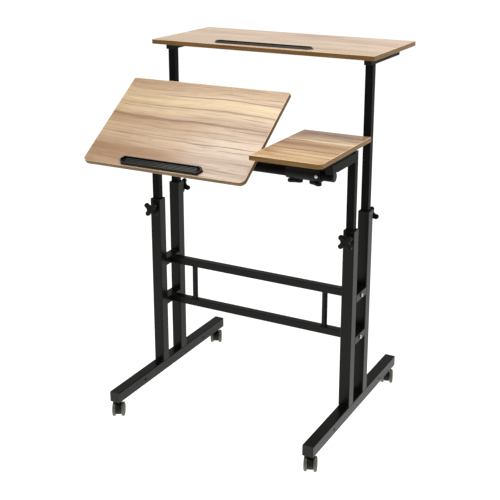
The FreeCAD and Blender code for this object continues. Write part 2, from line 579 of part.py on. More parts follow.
def housing():
    hw = HOUSE_W / 2.0
    # side outline in (y, z): round about the axle, straight back up to the stem boss, sloping front
    r = 19.0
    P = (-9.0, HOUSE_TOP)
    dy, dz = P[0] + TRAIL, P[1] - WHEEL_R
    ang = math.atan2(dz, dy) + math.acos(r / math.hypot(dy, dz))
    T = (-TRAIL + r * math.cos(ang), WHEEL_R + r * math.sin(ang))
    e = [Part.LineSegment(V(-hw, 8.0, HOUSE_TOP), V(-hw, 8.0, WHEEL_R)).toShape(),
         Part.Arc(V(-hw, 8.0, WHEEL_R), V(-hw, -TRAIL, WHEEL_R - r), V(-hw, T[0], T[1])).toShape(),
         Part.LineSegment(V(-hw, T[0], T[1]), V(-hw, P[0], P[1])).toShape(),
         Part.LineSegment(V(-hw, P[0], P[1]), V(-hw, 8.0, HOUSE_TOP)).toShape()]
    s = Part.Face(Part.Wire(e)).extrude(V(HOUSE_W, 0, 0))
    s = soft(s, 1.2, lambda g: g.BoundBox.XLength < 1e-4 and g.BoundBox.ZLength > 1.0)
    # mould pockets on the rolling faces
    for z in (WHEEL_R + 7.0, WHEEL_R - 7.0):
        s = s.cut(cyl(2.6, 8.0, (0, -TRAIL - 23.0, z), (0, 1, 0)))
    s = s.cut(cyl(STEM_R + 0.06, 60.0, (0, 0, FOOT_Z - 21.5), (0, 0, 1)))
    s = s.cut(cyl(3.0, 40.0, (-20.0, -TRAIL, WHEEL_R), (1, 0, 0)))
    return s


AXLE_L = HOUSE_W + 2 * WHEEL_W - 2.0
axle = cyl(3.0, AXLE_L, (-AXLE_L / 2.0, -TRAIL, WHEEL_R), (1, 0, 0))


def wheel(side):
    """Wheel about +Z, inner face at z = 0, crowned tread, dished cover outside."""
    W = WHEEL_W
    R = WHEEL_R
    p = [(3.05, 0), (8.0, 0), (8.0, 1.5), (18.5, 1.5), (18.5, 0.3), (R - 3.0, 0.3), (R - 1.1, 1.4), (R - 0.25, 3.6), (R, W * 0.5),
         (R - 0.25, W - 3.6), (R - 1.2, W - 1.5), (R - 3.0, W - 0.4), (R - 4.4, W - 0.4), (R - 4.4, W - 1.4), (R - 5.6, W - 1.4),
         (R - 6.4, W - 0.7), (R - 14.0, W), (4.0, W), (4.0, W - 0.8), (3.05, W - 0.8)]
    s = revolve(p)
    cap = cyl(4.0, 0.6, (0, 0, W - 0.8), (0, 0, 1))
    s = s.fuse(cap).removeSplitter()
    gap = 0.5
    return place_z_to(s, (side * (HOUSE_W / 2.0 + gap), -TRAIL, WHEEL_R), (side, 0, 0))


for side, sx in (("left", -1), ("right", 1)):
    for end, sy in (("front", -1), ("rear", 1)):
        tag = "%s_%s" % (end, side)

        def put(s):
            s = s.copy()
            s.rotate(V(0, 0, 0), V(0, 0, 1), SWIVEL[tag])
            s.translate(V(sx * COL_X, sy * STEM_Y, 0))
            return s
        nodes["caster_housing_" + tag] = put(group(housing(), axle))
        nodes["caster_wheel_%s_a" % tag] = put(wheel(-1))
        nodes["caster_wheel_%s_b" % tag] = put(wheel(1))

# ---------------------------------------------------------------- origin on the floor, middle of the footprint box
outer = [nodes[n].optimalBoundingBox() for n in nodes if n.startswith(("caster_wheel", "upper_shelf", "tilt_panel", "side_shelf"))]
x_lo, x_hi = min(b.XMin for b in outer), max(b.XMax for b in outer)
y_lo, y_hi = min(b.YMin for b in outer), max(b.YMax for b in outer)
OX = -(x_lo + x_hi) / 2.0
OY = -(y_lo + y_hi) / 2.0

os.makedirs("parts", exist_ok=True)
total = 0
for name in nodes:
    s = nodes[name].copy()
    s.translate(V(OX, OY, 0))
    nodes[name] = s
    if not s.isValid():
        print("not valid:", name)
    s.exportStep("parts/" + name + ".step")
    total += 1
bb = Part.makeCompound(list(nodes.values())).BoundBox
print("nodes", total, "box", [round(v, 1) for v in (bb.XMin, bb.YMin, bb.ZMin, bb.XMax, bb.YMax, bb.ZMax)], "shift", round(OX, 2), round(OY, 2))
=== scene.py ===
import bpy
import bmesh
import json
import math
from mathutils import Matrix, Vector


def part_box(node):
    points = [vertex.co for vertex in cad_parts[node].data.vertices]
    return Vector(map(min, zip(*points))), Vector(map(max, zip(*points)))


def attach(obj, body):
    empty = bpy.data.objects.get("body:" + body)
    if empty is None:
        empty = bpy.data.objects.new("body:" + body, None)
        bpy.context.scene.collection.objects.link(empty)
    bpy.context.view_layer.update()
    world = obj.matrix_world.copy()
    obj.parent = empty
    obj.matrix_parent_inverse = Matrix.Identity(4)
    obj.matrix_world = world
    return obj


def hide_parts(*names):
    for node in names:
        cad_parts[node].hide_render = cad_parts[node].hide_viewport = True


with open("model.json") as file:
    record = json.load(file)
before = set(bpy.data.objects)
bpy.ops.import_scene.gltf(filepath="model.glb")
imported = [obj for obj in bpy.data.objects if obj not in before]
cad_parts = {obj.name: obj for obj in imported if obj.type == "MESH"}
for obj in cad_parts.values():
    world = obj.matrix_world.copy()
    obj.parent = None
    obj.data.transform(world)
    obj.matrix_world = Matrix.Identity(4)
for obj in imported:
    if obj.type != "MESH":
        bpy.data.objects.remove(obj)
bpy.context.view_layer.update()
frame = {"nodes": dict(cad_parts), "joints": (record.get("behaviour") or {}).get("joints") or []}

NODES = frame["nodes"]
JOINTS = {j["name"]: j for j in frame["joints"]}
scene = bpy.context.scene
MM = 0.001


def centre(node):
    lo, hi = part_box(node)
    return (lo + hi) / 2.0


# the desk's own centre plane and the sizes that the pieces below are built from
foot_l, foot_r = centre("foot_tube_left"), centre("foot_tube_right")
MID_X = (foot_l.x + foot_r.x) / 2.0
MID_Y = (foot_l.y + foot_r.y) / 2.0
TILT = math.radians(35.2)
COL_X, COL_Y, COL_W = 360.0, 60.0, 38.0
FOOT_TOP = 92.0
RAIL_HI, RAIL_LO, RAIL_W = 461.7, 314.3, 25.4
CROSS_H = 26.0
STRUT_X, STRUT_R = 250.5, 9.5
LEG_W = 25.4
ULEG_TOP = 1202.4
ARM_Z0 = 922.0
TUBE_Y, TUBE_Z, TUBE_R = -215.6, 910.1, 16.0


def at(x, y, z):
    return Vector((x * MM + MID_X, y * MM + MID_Y, z * MM))


# ------------------------------------------------------------------ materials
def lin(r, g, b, k=1.0):
    out = []
    for c in (r, g, b):
        c = c / 255.0
        out.append(k * (c / 12.92 if c <= 0.04045 else ((c + 0.055) / 1.055) ** 2.4))
    return tuple(out)


def material(name):
    m = bpy.data.materials.new(name)
    m.use_nodes = True
    nt = m.node_tree
    nt.nodes.clear()
    out = nt.nodes.new("ShaderNodeOutputMaterial")
    bsdf = nt.nodes.new("ShaderNodeBsdfPrincipled")
    nt.links.new(bsdf.outputs["BSDF"], out.inputs["Surface"])
    return m, nt, bsdf


def ramp(nt, source, stops, interpolation="LINEAR"):
    r = nt.nodes.new("ShaderNodeValToRGB")
    r.color_ramp.interpolation = interpolation
    el = r.color_ramp.elements
    while len(el) < len(stops):
        el.new(0.5)
    for e, (p, c) in zip(el, stops):
        e.position = p
        e.color = (c[0], c[1], c[2], 1.0) if hasattr(c, "__len__") else (c, c, c, 1.0)
    nt.links.new(source, r.inputs["Fac"])
    return r.outputs["Color"]


def scaled(nt, vec, scale, offset=(0.0, 0.0, 0.0), turn=0.0):
    mp = nt.nodes.new("ShaderNodeMapping")
    mp.inputs["Scale"].default_value = scale
    mp.inputs["Location"].default_value = offset
    mp.inputs["Rotation"].default_value = (0.0, 0.0, turn)
    nt.links.new(vec, mp.inputs["Vector"])
    return mp.outputs["Vector"]


def stretched(nt, scale, offset=(0.0, 0.0, 0.0)):
    """Object coordinates times scale, plus offset."""
    tc = nt.nodes.new("ShaderNodeTexCoord")
    return scaled(nt, tc.outputs["Object"], scale, offset)


def noise(nt, vec, scale=1.0, detail=4.0, rough=0.55, distortion=0.0):
    n = nt.nodes.new("ShaderNodeTexNoise")
    n.inputs["Scale"].default_value = scale
    n.inputs["Detail"].default_value = detail
    n.inputs["Roughness"].default_value = rough
    n.inputs["Distortion"].default_value = distortion
    nt.links.new(vec, n.inputs["Vector"])
    return n


def mix(nt, fac, a, b, mode="MIX"):
    n = nt.nodes.new("ShaderNodeMix")
    n.data_type = "RGBA"
    n.blend_type = mode
    n.clamp_result = True
    for sock, v in (("Factor", fac), ("A", a), ("B", b)):
        target = [i for i in n.inputs if i.name == sock and i.type == ("VALUE" if sock == "Factor" else "RGBA")][0]
        if isinstance(v, bpy.types.NodeSocket):
            nt.links.new(v, target)
        else:
            target.default_value = v if sock == "Factor" else (v[0], v[1], v[2], 1.0)
    return [o for o in n.outputs if o.type == "RGBA"][0]


def times(nt, a, b):
    n = nt.nodes.new("ShaderNodeMath")
    n.operation = "MULTIPLY"
    nt.links.new(a, n.inputs[0])
    if isinstance(b, bpy.types.NodeSocket):
        nt.links.new(b, n.inputs[1])
    else:
        n.inputs[1].default_value = b
    return n.outputs["Value"]


def shove(nt, vec, by, amount):
    """vec moved along Y by a noise colour, up to amount/2 either way."""
    n = nt.nodes.new("ShaderNodeVectorMath")
    n.operation = "MULTIPLY_ADD"
    nt.links.new(by.outputs["Color"], n.inputs[0])
    n.inputs[1].default_value = (0.0, amount, 0.0)
    n.inputs[2].default_value = (0.0, -amount / 2.0, 0.0)
    add = nt.nodes.new("ShaderNodeVectorMath")
    add.operation = "ADD"
    nt.links.new(vec, add.inputs[0])
    nt.links.new(n.outputs["Vector"], add.inputs[1])
    return add.outputs["Vector"]


def bump(nt, bsdf, height, strength, distance):
    b = nt.nodes.new("ShaderNodeBump")
    b.inputs["Strength"].default_value = strength
    b.inputs["Distance"].default_value = distance
    nt.links.new(height, b.inputs["Height"])
    nt.links.new(b.outputs["Normal"], bsdf.inputs["Normal"])


def wood(name, width, depth, offset, turn, bands, veins, tone, dark, fibre=64.0, contrast=1.0, spec=0.42, gloss=0.28, hairs=3.2, streaks=(0.70, 0.665, 0.625), along=None, patches=()):
    """Printed wood-grain laminate, grain along the board's X.

    bands: (place from the front edge 0 to the back edge 1, sRGB colour); veins: (place, half width, strength);
    along: (place from the left end 0 to the right end 1, tint); patches: (front-to-back stops, left-to-right stops,
    colour) of browner or paler corners; on the laptop board both are painted shade and painted sheen laid over the
    print.
    """
    m, nt, bsdf = material(name)
    tc = nt.nodes.new("ShaderNodeTexCoord")
    vec = scaled(nt, tc.outputs["Object"], (1.0, 1.0, 1.0), turn=turn)
    # slow sideways drift of the grain and a smaller waver on top of it
    far = noise(nt, scaled(nt, vec, (1.5, 3.0, 1.0), offset), 1.0, 2.0, 0.5)
    near = noise(nt, scaled(nt, vec, (6.5, 11.0, 1.0), offset), 1.0, 2.0, 0.5)
    vec = shove(nt, vec, far, 0.055)
    vec = shove(nt, vec, near, 0.011)
    # broad bands of pale and brown wood from front to back
    sep = nt.nodes.new("ShaderNodeSeparateXYZ")
    nt.links.new(vec, sep.inputs["Vector"])
    mr = nt.nodes.new("ShaderNodeMapRange")
    mr.inputs["From Min"].default_value = -depth / 2.0
    mr.inputs["From Max"].default_value = depth / 2.0
    nt.links.new(sep.outputs["Y"], mr.inputs["Value"])
    place = mr.outputs["Result"]
    c = ramp(nt, place, [(p, tuple(v * t for v, t in zip(lin(*col), tone))) for p, col in bands])
    # slow change of tone from the left end to the right, which on the laptop board is painted shade, darker towards the
    # left
    mx = nt.nodes.new("ShaderNodeMapRange")
    mx.inputs["From Min"].default_value = -width / 2.0
    mx.inputs["From Max"].default_value = width / 2.0
    nt.links.new(sep.outputs["X"], mx.inputs["Value"])
    if along:
        c = mix(nt, 1.0, c, ramp(nt, mx.outputs["Result"], along, "EASE"), "MULTIPLY")
    # corner patches, which on the laptop board are a browner patch of painted shade and a paler patch of painted sheen
    for deep, wide, col in patches:
        c = mix(nt, times(nt, ramp(nt, place, deep, "EASE"), ramp(nt, mx.outputs["Result"], wide, "EASE")), c, col)
    # cloudy patches along the grain
    cloud = noise(nt, scaled(nt, vec, (1.7, 9.0, 1.0), (offset[0] + 4.0, offset[1], 0.0)), 1.0, 3.0, 0.5)
    c = mix(nt, contrast, c, ramp(nt, cloud.outputs["Fac"], [(0.32, (0.86, 0.845, 0.82)), (0.62, (1.0, 1.0, 1.0))]), "MULTIPLY")
    # streaks
    streak = noise(nt, scaled(nt, vec, (2.1, fibre, 1.0), offset), 1.0, 6.0, 0.66)
    c = mix(nt, contrast, c, ramp(nt, streak.outputs["Fac"], [(0.33, streaks), (0.47, tuple(1.0 - 0.3 * (1.0 - v) for v in streaks)), (0.62, (1.0, 1.0, 1.0))]), "MULTIPLY")
    # dark growth lines that run the length of the board, stronger and weaker along it
    stops = [(0.0, 0.0)]
    for p, w, s in sorted(veins):
        stops += [(p - 0.8 * w, 0.0), (p - 0.1 * w, s), (p + 0.25 * w, 0.7 * s), (p + 1.6 * w, 0.0)]
    v = ramp(nt, place, stops)
    fade = noise(nt, scaled(nt, vec, (2.6, 8.0, 1.0), (offset[0] + 9.0, offset[1] + 2.0, 0.0)), 1.0, 3.0, 0.6)
    v = times(nt, v, ramp(nt, fade.outputs["Fac"], [(0.36, 0.20), (0.52, 1.0)]))
    c = mix(nt, v, c, dark)
    # hairlines
    hair = noise(nt, scaled(nt, vec, (3.4, hairs * fibre, 1.0), (offset[0] + 1.0, offset[1], 0.0)), 1.0, 2.0, 0.5)
    crowd = noise(nt, scaled(nt, vec, (1.3, 14.0, 1.0), (offset[0] + 6.0, offset[1], 0.0)), 1.0, 2.0, 0.5)
    h = times(nt, ramp(nt, hair.outputs["Fac"], [(0.34, 0.80 * contrast), (0.45, 0.0)]), ramp(nt, crowd.outputs["Fac"], [(0.40, 0.12), (0.62, 1.0)]))
    c = mix(nt, h, c, dark)
    # fine pores
    pore = noise(nt, scaled(nt, vec, (14.0, 520.0, 1.0), offset), 1.0, 3.0, 0.65)
    p = ramp(nt, pore.outputs["Fac"], [(0.30, 0.55 * contrast), (0.47, 0.0)])
    c = mix(nt, p, c, dark)
    nt.links.new(c, bsdf.inputs["Base Color"])
    nt.links.new(ramp(nt, streak.outputs["Fac"], [(0.3, gloss + 0.05), (0.7, gloss - 0.04)]), bsdf.inputs["Roughness"])
    bsdf.inputs["Specular IOR Level"].default_value = spec
    bump(nt, bsdf, pore.outputs["Fac"], 0.10, 0.0002)
    return m


def edge_band(name, dark, mid, light, spec):
    """Edge strip glued round a board, streaked along the edge."""
    m, nt, bsdf = material(name)
    a = noise(nt, stretched(nt, (7.0, 7.0, 330.0)), 1.0, 4.0, 0.6)
    b = noise(nt, stretched(nt, (24.0, 24.0, 900.0), (1.0, 2.0, 0.0)), 1.0, 3.0, 0.6)
    c = ramp(nt, a.outputs["Fac"], [(0.30, dark), (0.52, mid), (0.72, light)])
    c = mix(nt, ramp(nt, b.outputs["Fac"], [(0.35, 0.40), (0.55, 0.0)]), c, dark)
    nt.links.new(c, bsdf.inputs["Base Color"])
    nt.links.new(ramp(nt, b.outputs["Fac"], [(0.3, 0.46), (0.7, 0.36)]), bsdf.inputs["Roughness"])
    bsdf.inputs["Specular IOR Level"].default_value = spec
    bump(nt, bsdf, b.outputs["Fac"], 0.12, 0.0002)
    return m


def powder(name, lo, hi, rough, spec, grain=1500.0, strength=0.22):
    """Powder coat or moulded plastic: near-black with a fine orange-peel skin."""
    m, nt, bsdf = material(name)
    big = noise(nt, stretched(nt, (9.0, 9.0, 9.0)), 1.0, 3.0, 0.6)
    fine = noise(nt, stretched(nt, (grain, grain, grain)), 1.0, 2.0, 0.5)
    c = ramp(nt, big.outputs["Fac"], [(0.3, lo), (0.7, hi)])
    nt.links.new(c, bsdf.inputs["Base Color"])
    r = ramp(nt, fine.outputs["Fac"], [(0.3, rough - 0.05), (0.7, rough + 0.05)])
    nt.links.new(r, bsdf.inputs["Roughness"])
    bsdf.inputs["Specular IOR Level"].default_value = spec
    bsdf.inputs["Specular Tint"].default_value = (1.0, 1.0, 0.92, 1.0)
    bump(nt, bsdf, fine.outputs["Fac"], strength, 0.00012)
    return m


def zinc(name):
    m, nt, bsdf = material(name)
    n = noise(nt, stretched(nt, (700.0, 700.0, 700.0)), 1.0, 3.0, 0.6)
    nt.links.new(ramp(nt, n.outputs["Fac"], [(0.3, (0.36, 0.36, 0.35)), (0.7, (0.58, 0.58, 0.56))]), bsdf.inputs["Base Color"])
    nt.links.new(ramp(nt, n.outputs["Fac"], [(0.3, 0.34), (0.7, 0.22)]), bsdf.inputs["Roughness"])
    bsdf.inputs["Metallic"].default_value = 1.0
    bump(nt, bsdf, n.outputs["Fac"], 0.08, 0.0001)
    return m


def tread(name, lo, hi, rough, spec):
    m, nt, bsdf = material(name)
    n = noise(nt, stretched(nt, (160.0, 160.0, 160.0)), 1.0, 4.0, 0.6)
    f = noise(nt, stretched(nt, (1800.0, 1800.0, 1800.0)), 1.0, 2.0, 0.5)
    nt.links.new(ramp(nt, n.outputs["Fac"], [(0.3, lo), (0.7, hi)]), bsdf.inputs["Base Color"])
    nt.links.new(ramp(nt, n.outputs["Fac"], [(0.3, rough + 0.06), (0.7, rough - 0.04)]), bsdf.inputs["Roughness"])
    bsdf.inputs["Specular IOR Level"].default_value = spec
    bump(nt, bsdf, f.outputs["Fac"], 0.2, 0.0001)
    return m


T_BANDS = [(0.0, (203, 173, 143)), (0.08, (197, 165, 133)), (0.15, (186, 151, 117)), (0.185, (180, 145, 110)), (0.215, (203, 171, 140)),
           (0.30, (211, 182, 152)), (0.40, (207, 176, 145)), (0.49, (199, 166, 133)), (0.535, (186, 150, 117)), (0.560, (188, 152, 118)),
           (0.59, (209, 178, 143)), (0.64, (219, 191, 156)), (0.70, (213, 183, 147)), (0.725, (220, 191, 152)), (0.76, (225, 198, 158)),
           (0.82, (223, 195, 156)), (0.845, (214, 184, 150)), (0.87, (212, 181, 147)), (0.93, (202, 169, 134)), (1.0, (196, 163, 129))]
T_VEINS = [(0.833, 0.008, 1.0), (0.700, 0.007, 0.90), (0.553, 0.014, 0.75), (0.455, 0.005, 0.45), (0.345, 0.005, 0.45), (0.190, 0.010, 0.75), (0.095, 0.005, 0.40)]
S_BANDS = [(0.0, (226, 194, 150)), (0.07, (214, 176, 128)), (0.14, (222, 188, 142)), (0.24, (224, 190, 145)), (0.32, (212, 175, 131)),
           (0.355, (200, 161, 121)), (0.45, (195, 156, 117)), (0.56, (200, 161, 122)), (0.61, (202, 164, 124)), (0.630, (244, 220, 184)), (0.658, (238, 212, 174)),
           (0.70, (216, 184, 149)), (0.76, (206, 175, 143)), (0.82, (190, 160, 133)), (0.88, (184, 155, 130)), (0.93, (196, 168, 143)), (1.0, (182, 153, 128))]
S_VEINS = [(0.338, 0.015, 0.95), (0.258, 0.010, 0.70), (0.172, 0.012, 0.75), (0.090, 0.009, 0.60), (0.470, 0.010, 0.45), (0.560, 0.008, 0.45), (0.800, 0.010, 0.50)]
U_BANDS = [(0.0, (212, 186, 157)), (0.18, (205, 178, 148)), (0.30, (212, 186, 158)), (0.45, (205, 179, 151)), (0.55, (213, 188, 161)),
           (0.70, (204, 176, 146)), (0.85, (210, 185, 158)), (1.0, (206, 180, 152))]
U_VEINS = [(0.12, 0.006, 0.30), (0.26, 0.004, 0.35), (0.41, 0.006, 0.40), (0.62, 0.005, 0.40), (0.79, 0.006, 0.35)]

# The bands give the upper board its grain; the tone, which lifts blue most, makes it paler and greyer as painted sheen
# of the grazing view.
WOOD_U = wood("wood_upper", 0.800, 0.375, (0.35, 0.62, 0.0), 0.0, U_BANDS, U_VEINS, (1.04, 1.075, 1.17), lin(140, 108, 78), fibre=30.0, contrast=0.85, hairs=1.6,
              along=[(0.0, (0.935, 0.935, 0.935)), (0.5, (0.935, 0.935, 0.935)), (1.0, (1.0, 1.0, 1.0))])
# The laptop board's left-to-right tint is painted shade, darker towards the left. Its patches are painted light: a
# browner lower-left patch of painted shade and a pale lower-right patch of painted sheen.
WOOD_T = wood("wood_laptop", 0.586, 0.3785, (2.10, 1.27, 0.0), 0.030, T_BANDS, T_VEINS, (1.035, 1.045, 1.040), lin(112, 76, 46), fibre=56.0, gloss=0.24,
              along=[(0.0, (0.84, 0.835, 0.81)), (0.45, (0.92, 0.915, 0.90)), (1.0, (0.985, 1.0, 1.0))],
              patches=[([(0.0, 0.40), (0.15, 0.62), (0.20, 0.50), (0.235, 0.0)], [(0.0, 1.0), (0.35, 0.75), (0.62, 0.0)], lin(160, 124, 92)),
                       ([(0.0, 0.55), (0.22, 0.60), (0.50, 0.25), (0.80, 0.0)], [(0.45, 0.0), (0.80, 1.0)], lin(226, 210, 196))])
WOOD_S = wood("wood_side", 0.233, 0.3815, (5.60, 3.33, 0.0), 0.010, S_BANDS, S_VEINS, (0.97, 0.985, 0.975), lin(104, 66, 34), fibre=34.0, hairs=1.5, streaks=(0.56, 0.48, 0.40),
              patches=[([(0.0, 0.0), (0.10, 0.55), (0.30, 0.55), (0.36, 0.0)], [(0.0, 1.0), (0.35, 0.0)], lin(176, 124, 66)),
                       ([(0.80, 0.0), (0.92, 0.45), (1.0, 0.5)], [(0.75, 0.0), (1.0, 1.0)], lin(190, 140, 88)),
                       ([(0.0, 0.30), (0.05, 0.34), (0.13, 0.26), (0.20, 0.0)], [(0.0, 0.8), (1.0, 1.0)], lin(172, 136, 104))])
EDGE_U = edge_band("edge_band_upper", (0.118, 0.054, 0.015), (0.212, 0.104, 0.030), (0.285, 0.155, 0.052), 0.16)
EDGE_S = edge_band("edge_band_side", (0.120, 0.060, 0.016), (0.215, 0.115, 0.034), (0.285, 0.165, 0.060), 0.14)
EDGE_T = edge_band("edge_band_laptop", (0.096, 0.052, 0.021), (0.166, 0.098, 0.044), (0.230, 0.144, 0.072), 0.14)
# pale arris colour: partly a paler edge, partly a painted highlight of the rounded top edge
ARRIS_HIGHLIGHT = edge_band("edge_arris_highlight", lin(196, 166, 128), lin(222, 196, 158), lin(232, 210, 176), 0.30)
STEEL = powder("black_powder_coat", (0.0036, 0.0036, 0.0032), (0.0052, 0.0052, 0.0047), 0.28, 0.125)
LEG = powder("black_inner_tube", (0.0058, 0.0057, 0.0052), (0.0082, 0.0081, 0.0075), 0.34, 0.02)
TUBE = powder("black_cross_tube", (0.0036, 0.0036, 0.0032), (0.0050, 0.0050, 0.0045), 0.30, 0.03)
PLASTIC = powder("black_plastic", (0.0042, 0.0042, 0.0038), (0.0066, 0.0066, 0.0060), 0.36, 0.09, 2200.0, 0.3)
CAP = powder("black_end_cap", (0.0060, 0.0060, 0.0054), (0.0088, 0.0088, 0.0080), 0.32, 0.20, 2200.0, 0.3)
HOUSING = powder("caster_plastic", (0.0060, 0.0060, 0.0054), (0.0090, 0.0090, 0.0082), 0.34, 0.20, 2200.0, 0.25)
BAR = powder("stopper_plastic", (0.0100, 0.0096, 0.0084), (0.0140, 0.0135, 0.0120), 0.34, 0.50, 2200.0, 0.25)
# The laptop stopper's brown cast is a painted reflection of the wood round it.
BAR_T_WOOD_REFLECT = powder("stopper_plastic_laptop_wood_reflection", (0.0100, 0.0068, 0.0042), (0.0140, 0.0098, 0.0062), 0.36, 0.12, 2200.0, 0.25)
# Lit and shaded copies of the stopper plastic: the lighter ridges are painted light, the near-black inside is painted
# shade and the lighter rim is a painted highlight.
BAR_LIT_RIDGES = powder("stopper_ridges_lit", (0.0330, 0.0335, 0.0310), (0.0470, 0.0475, 0.0440), 0.34, 0.50, 2200.0, 0.25)
BAR_SHADE = powder("stopper_inside_shade", (0.0030, 0.0029, 0.0026), (0.0045, 0.0044, 0.0040), 0.50, 0.03, 2200.0, 0.25)
BAR_RIM_HIGHLIGHT = powder("stopper_rim_highlight", (0.0200, 0.0195, 0.0175), (0.0280, 0.0275, 0.0250), 0.30, 0.45, 2200.0, 0.25)
ZINC = zinc("zinc")
TREAD = tread("wheel_tread", (0.070, 0.074, 0.050), (0.100, 0.104, 0.074), 0.34, 0.45)
COVER = tread("wheel_cover", (0.022, 0.0225, 0.0190), (0.032, 0.0325, 0.0280), 0.46, 0.20)


# ------------------------------------------------------------------ mesh helpers
def link(name, bm, mats, matrix=None, smooth_angle=32.0):
    me = bpy.data.meshes.new(name)
    bmesh.ops.recalc_face_normals(bm, faces=bm.faces)
    for f in bm.faces:
        f.smooth = True
    bm.to_mesh(me)
    bm.free()
    me.set_sharp_from_angle(angle=math.radians(smooth_angle))
    for m in mats:
        me.materials.append(m)
    o = bpy.data.objects.new(name, me)
    scene.collection.objects.link(o)
    if matrix is not None:
        o.matrix_world = matrix
    return o


def outline(w, d, radii, seg=10):
    """Counter-clockwise outline of a w x d rectangle about the origin; radii front-left, front-right, back-right, back-left."""
    x, y = w / 2.0, d / 2.0
    pts = []
    for cx, cy, r, a0 in ((-x, -y, radii[0], 180), (x, -y, radii[1], 270), (x, y, radii[2], 0), (-x, y, radii[3], 90)):
        ox = cx + (r if cx < 0 else -r)
        oy = cy + (r if cy < 0 else -r)
        for i in range(seg + 1):
            a = math.radians(a0 + 90.0 * i / seg)
            pts.append((ox + r * math.cos(a), oy + r * math.sin(a)))
    return pts


def board(name, w, d, t, radii, wood_mat, edge_mat, matrix, r_top=2.0, r_low=1.4):
    """Laminated board: printed faces, brown edge strip, pale eased arris along the top whose pale colour is partly a
    paler edge and partly a painted highlight; local origin at the middle of the underside.
    """
    rt, rl = r_top * MM, r_low * MM
    prof = [(rl + 1.0 * MM, 0.0, 0), (rl, 0.0, 1)]
    for i in range(1, 5):
        a = math.radians(90.0 * i / 4)
        prof.append((rl - rl * math.sin(a), rl - rl * math.cos(a), 1))
    prof.append((0.0, t * 0.5, 1))
    prof.append((0.0, t - rt, 1))
    for i in range(1, 7):
        a = math.radians(90.0 * i / 6)
        prof.append((rt - rt * math.cos(a), t - rt + rt * math.sin(a), 1 if i <= 3 else 2))
    prof.append((rt + 0.5 * MM, t, 2))
    bm = bmesh.new()
    rings = []
    for inset, z, mi in prof:
        ring = [bm.verts.new((px, py, z)) for px, py in outline(w - 2 * inset, d - 2 * inset, [max(q - inset, 0.4 * MM) for q in radii])]
        rings.append(ring)
    n = len(rings[0])
    for k in range(len(rings) - 1):
        for i in range(n):
            f = bm.faces.new((rings[k][i], rings[k][(i + 1) % n], rings[k + 1][(i + 1) % n], rings[k + 1][i]))
            f.material_index = prof[k + 1][2]
    bm.faces.new(rings[-1]).material_index = 0
    bm.faces.new(list(reversed(rings[0]))).material_index = 0
    return link(name, bm, [wood_mat, edge_mat, ARRIS_HIGHLIGHT], matrix)


def lathe(name, profile, seg, mats, matrix):
    """Profile of (radius, z, material) points turned about local Z; the profile starts and ends on the axis or closes on itself."""
    bm = bmesh.new()
    rings = []
    for r, z, mi in profile:
        if r < 1e-7:
            rings.append([bm.verts.new((0, 0, z))])
        else:
            rings.append([bm.verts.new((r * math.cos(2 * math.pi * i / seg), r * math.sin(2 * math.pi * i / seg), z)) for i in range(seg)])
    for k in range(len(rings) - 1):
        a, b = rings[k], rings[k + 1]
        mi = profile[k + 1][2]
        for i in range(seg):
            j = (i + 1) % seg
            if len(a) == 1 and len(b) == 1:
                continue
            if len(a) == 1:
                f = bm.faces.new((a[0], b[j], b[i]))
            elif len(b) == 1:
                f = bm.faces.new((a[i], a[j], b[0]))
            else:
                f = bm.faces.new((a[i], a[j], b[j], b[i]))
            f.material_index = mi
    return link(name, bm, mats, matrix)


def bead(bm, pts, r, closed=False, seg=8, step=1.0 * MM):
    """Weld bead laid along a line of points: a rippled roll, tapered at both ends unless it closes on itself."""
    line = list(pts) + ([pts[0]] if closed else [])
    run = [0.0]
    for a, b in zip(line, line[1:]):
        run.append(run[-1] + (b - a).length)
    count = max(4, int(run[-1] / step))
    path = []
    k = 0
    for i in range(count if closed else count + 1):
        s = run[-1] * i / count
        while k < len(run) - 2 and run[k + 1] < s:
            k += 1
        f = (s - run[k]) / (run[k + 1] - run[k])
        path.append((line[k].lerp(line[k + 1], f), (line[k + 1] - line[k]).normalized(), s))
    rings = []
    for i, (p, t, s) in enumerate(path):
        ref = Vector((0, 0, 1)) if abs(t.z) < 0.9 else Vector((1, 0, 0))
        u = t.cross(ref).normalized()
        v = t.cross(u).normalized()
        rad = r * (1.0 + 0.15 * math.sin(2 * math.pi * s / (2.6 * MM)) + 0.06 * math.sin(2 * math.pi * s / (11.0 * MM) + 0.7))
        if not closed:
            end = min(s, run[-1] - s)
            rad *= min(1.0, 0.35 + 0.65 * math.sqrt(max(end, 0.0) / (2.2 * MM)))
        rings.append([bm.verts.new(p + (u * math.cos(2 * math.pi * j / seg) + v * math.sin(2 * math.pi * j / seg)) * rad) for j in range(seg)])
    pairs = list(zip(rings, rings[1:])) + ([(rings[-1], rings[0])] if closed else [])
    for a, b in pairs:
        for j in range(seg):
            bm.faces.new((a[j], a[(j + 1) % seg], b[(j + 1) % seg], b[j]))
    if not closed:
        bm.faces.new(rings[0])
        bm.faces.new(list(reversed(rings[-1])))


def dress(names, mat, bevel=0.0):
    for n in names:
        o = NODES[n]
        o.data.materials.clear()
        o.data.materials.append(mat)
        if bevel:
            w = o.modifiers.new("weld", "WELD")
            w.merge_threshold = 0.00001
            b = o.modifiers.new("ease", "BEVEL")
            b.width = bevel
            b.segments = 2
            b.limit_method = "ANGLE"
            b.angle_limit = math.radians(40)
            b.use_clamp_overlap = True
            wn = o.modifiers.new("normals", "WEIGHTED_NORMAL")
            wn.keep_sharp = True


